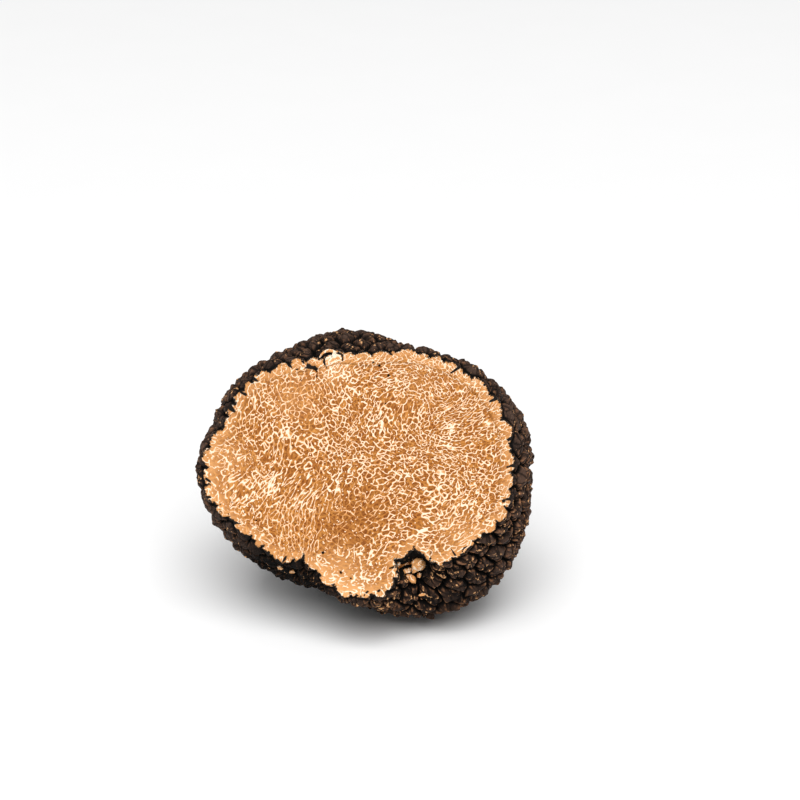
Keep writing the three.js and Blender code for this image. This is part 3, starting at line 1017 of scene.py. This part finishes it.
    # veins stand a hair above the cells, and the knife leaves a fine grain
    grain = {"Vector": place, "Scale": look["knifeGrain"], "Detail": 3.0}
    grain = addNode(tree, "TexNoise", grain, **inPlane)
    height = addNode(tree, "Math", (veins, 0.6, grain), operation="MULTIPLY_ADD")
    bump = addNode(tree, "Bump", {"Height": height, "Strength": 0.5, "Distance": look["reliefDepth"] * mm})
    tree.links.new(bump, shader.inputs["Normal"])
    return material


# truffle skin, washed and brushed: near-black dry warts with a dull satin gleam, worn to copper on their
# edges and tips
skinLook = {
    # crease: the near-black painted into creases, furrows, lumps, bites and low down, as painted shade
    "crease": "#060403",
    "dark": "#1c110c",
    "mid": "#4e3628",
    "dry": "#4b3e37",
    "worn": "#9a6b4a",
    "tip": "#e0aa76",
    "grainSize": 0.35,  # of the dry wrinkles, mm
    "speckSize": 0.6,
    "patchScale": 0.9,  # of lighter and darker patches, per mm
    "wrinkleScale": 2.2,
    "reliefDepth": 0.25,  # of the wrinkles, mm
    "roughness": 0.46,
    "ior": 1.4,
    "specular": 0.18,
}


def makeSkinMaterial():
    look = skinLook
    material = bpy.data.materials.new("truffle skin, washed and brushed")
    material.use_nodes = True
    tree = material.node_tree
    shader = tree.nodes["Principled BSDF"]
    values = {}
    for name in ("crease", "lumpCrease", "furrow", "tip", "ridge", "wartTone", "relief", "lowerLeftShade", "rubbed"):
        values[name] = addNode(tree, "Attribute", output="Fac", attribute_name=name)
    coords = addNode(tree, "TexCoord", output="Object")
    coords = addNode(tree, "VectorMath", {0: coords, 3: 1000.0}, operation="SCALE")  # millimetres

    # tone that differs at random over the skin and from wart to wart, and painted light: higher parts of the
    # relief are painted lighter, lower ones darker
    toneAndPaintedLight = {"Vector": coords, "Scale": look["patchScale"], "Detail": 5.0, "Roughness": 0.75}
    toneAndPaintedLight = addNode(tree, "TexNoise", toneAndPaintedLight)
    toneAndPaintedLight = addNode(tree, "Math", (values["wartTone"], 0.25, toneAndPaintedLight), operation="MULTIPLY_ADD")
    toneAndPaintedLight = addNode(tree, "Math", (values["relief"], 0.45, toneAndPaintedLight), operation="MULTIPLY_ADD")
    toneAndPaintedLight = addNode(tree, "MapRange", (toneAndPaintedLight, 0.5, 0.95, 0.0, 1.0))
    # edges worn by the brush, broken up by the grain
    grain = {"Vector": coords, "Scale": 1 / look["grainSize"], "Detail": 4.0, "Roughness": 0.65}
    grain = addNode(tree, "TexNoise", grain)
    edge = addNode(tree, "Math", (grain, 3.0, values["ridge"]), operation="MULTIPLY_ADD")
    edge = addNode(tree, "MapRange", (edge, 3.2, 5.0, 0.0, 0.9))
    wear = addNode(tree, "MapRange", (values["rubbed"], 0.0, 1.0, 0.55, 1.0))
    edge = addNode(tree, "Math", (edge, wear), operation="MULTIPLY")
    # pale specks, most of them round the tips, fewer underneath
    picked = {"Vector": coords, "Scale": 1 / look["speckSize"], "Detail": 2.0, "Roughness": 0.6}
    picked = addNode(tree, "TexNoise", picked)
    near = addNode(tree, "MapRange", (values["tip"], 0.4, 1.1, 0.13, -0.01))
    speck = addNode(tree, "Math", (picked, near), operation="ADD")
    lift = addNode(tree, "MapRange", (values["ridge"], -1.0, 3.0, -0.07, 0.07))
    speck = addNode(tree, "Math", (speck, lift), operation="ADD")
    # darker towards the bottom and at the lower left: painted shade near the ground, which also holds back
    # the specks and the worn edges there
    low = addNode(tree, "SeparateXYZ", (coords,), "Z")
    low = addNode(tree, "MapRange", (low, 3.0, 17.0, 0.6, 0.0), **fading)
    low = addNode(tree, "Math", (low, values["lowerLeftShade"]), operation="ADD", use_clamp=True)
    speck = addNode(tree, "Math", (low, -0.08, speck), operation="MULTIPLY_ADD")
    speck = addNode(tree, "Math", (values["rubbed"], 0.05, speck), operation="MULTIPLY_ADD")
    speck = addNode(tree, "MapRange", (speck, 0.705, 0.78, 0.0, 1.0))
    # fewer worn edges where the shade is painted underneath
    clean = addNode(tree, "Math", (low, -0.75, 1.0), operation="MULTIPLY_ADD")
    edge = addNode(tree, "Math", (edge, clean), operation="MULTIPLY")
    # painted shade: near-black in the creases, furrows and lumps, and low down underneath
    deep = addNode(tree, "MapRange", (values["crease"], 0.14, 0.4, 1.0, 0.0), **fading)
    lump = addNode(tree, "MapRange", (values["lumpCrease"], 0.03, 0.17, 0.8, 0.0))
    furrow = addNode(tree, "MapRange", (values["furrow"], 0.04, 0.2, 0.8, 0.0))
    paintedShade = addNode(tree, "Math", (lump, furrow), operation="MAXIMUM")
    paintedShade = addNode(tree, "Math", (paintedShade, deep), operation="MAXIMUM")
    paintedShade = addNode(tree, "Math", (paintedShade, low), operation="MAXIMUM")

    colour = linearColour(look["dark"])
    # greyer dry skin where it isn't rubbed; it follows the tone, so it also carries the painted light of the
    # higher parts
    dry = addNode(tree, "MapRange", (values["rubbed"], 0.0, 1.0, 0.5, 0.0))
    dry = addNode(tree, "Math", (dry, toneAndPaintedLight), operation="MULTIPLY")
    layers = (
        (toneAndPaintedLight, "mid"), (dry, "dry"), (paintedShade, "crease"), (edge, "worn"), (speck, "tip"), (deep, "crease"),
    )
    for share, name in layers:
        colour = addNode(tree, "Mix", {0: share, 6: colour, 7: linearColour(look[name])}, 2, **colours)
    tree.links.new(colour, shader.inputs["Base Color"])
    smoothest, roughest = look["roughness"] - 0.08, look["roughness"] + 0.16
    roughness = addNode(tree, "MapRange", (grain, 0.3, 0.7, smoothest, roughest))
    roughness = addNode(tree, "Math", (paintedShade, 0.4, roughness), operation="MULTIPLY_ADD")  # rougher where the shade is painted, which dulls the sheen there
    tree.links.new(roughness, shader.inputs["Roughness"])
    shader.inputs["IOR"].default_value = look["ior"]
    shader.inputs["Specular IOR Level"].default_value = look["specular"]
    wrinkles = {"Vector": coords, "Scale": look["wrinkleScale"]}
    wrinkles = addNode(tree, "TexVoronoi", wrinkles, "Distance", feature="F1")
    height = addNode(tree, "Math", (wrinkles, 0.8, grain), operation="MULTIPLY_ADD")
    bump = addNode(tree, "Bump", {"Height": height, "Strength": 0.9, "Distance": look["reliefDepth"] * mm})
    tree.links.new(bump, shader.inputs["Normal"])
    return material


fleshMaterial = makeFleshMaterial()
skinMaterial = makeSkinMaterial()
rindFront.data.materials.append(skinMaterial)
rindFront.data.materials.append(fleshMaterial)  # for the faces that lie in the cut
rindBack.data.materials.append(skinMaterial)
for piece in (flesh, tornFlakes):
    piece.data.materials.append(fleshMaterial)
print("finishes made")


# white table top, painted: even and without a gleam, so only the soft shadow shows on it
def makeFloorMaterial():
    material = bpy.data.materials.new("table top, matt white paint")
    material.use_nodes = True
    tree = material.node_tree
    shader = tree.nodes["Principled BSDF"]
    coords = addNode(tree, "TexCoord", output="Object")
    mottle = addNode(tree, "TexNoise", {"Vector": coords, "Scale": 40.0, "Detail": 3.0})
    paint = {0: mottle, 6: linearColour("#f3f3f3"), 7: linearColour("#f5f5f5")}
    paint = addNode(tree, "Mix", paint, 2, **colours)
    tree.links.new(paint, shader.inputs["Base Color"])
    shader.inputs["Roughness"].default_value = 0.8
    return material


studio = {
    "floorSide": 4.0,
    "boxPlace": (0.0, -1.5, 2.4),
    "boxSide": 2.4,
    "boxPower": 102.0,
    "roomLight": 0.34,
    "lens": 100.0,  # mm on a 36 mm sensor
    "cameraElevation": 25.0,
    "cameraDistance": 0.373,
    "aim": (-0.0041, -0.002, 0.0234),
    "shiftX": 0.044,
    "shiftY": 0.094,
}


def makeFloor():
    half = studio["floorSide"] / 2
    mesh = bpy.data.meshes.new("floor")
    corners = [(-half, -half, 0), (half, -half, 0), (half, half, 0), (-half, half, 0)]
    mesh.from_pydata(corners, [], [(0, 1, 2, 3)])
    floor = bpy.data.objects.new("floor", mesh)
    scene.collection.objects.link(floor)
    floor.data.materials.append(makeFloorMaterial())


def makeLight():
    lamp = bpy.data.lights.new("softbox above", "AREA")
    lamp.shape = "SQUARE"
    lamp.size = studio["boxSide"]
    lamp.energy = studio["boxPower"]
    light = bpy.data.objects.new("softbox above", lamp)
    light.location = studio["boxPlace"]
    light.rotation_euler = (-light.location).to_track_quat("-Z", "Y").to_euler()
    scene.collection.objects.link(light)


def makeRoom():
    room = bpy.data.worlds.new("white room")
    room.use_nodes = True
    background = room.node_tree.nodes["Background"]
    background.inputs["Color"].default_value = (1, 1, 1, 1)
    background.inputs["Strength"].default_value = studio["roomLight"]
    scene.world = room


def makeCamera():
    camera = bpy.data.objects.new("camera", bpy.data.cameras.new("camera"))
    camera.data.lens = studio["lens"]
    camera.data.sensor_width = 36
    rise = math.radians(studio["cameraElevation"])
    aim = Vector(studio["aim"])
    camera.location = aim + Vector((0, -math.cos(rise), math.sin(rise))) * studio["cameraDistance"]
    camera.rotation_euler = (aim - camera.location).to_track_quat("-Z", "Y").to_euler()
    camera.data.shift_x = studio["shiftX"]
    camera.data.shift_y = studio["shiftY"]
    camera.data.clip_start = 0.01
    scene.collection.objects.link(camera)
    scene.camera = camera


makeFloor()
makeLight()
makeRoom()
makeCamera()
scene.view_settings.view_transform = "Standard"
print("floor, light and camera made")
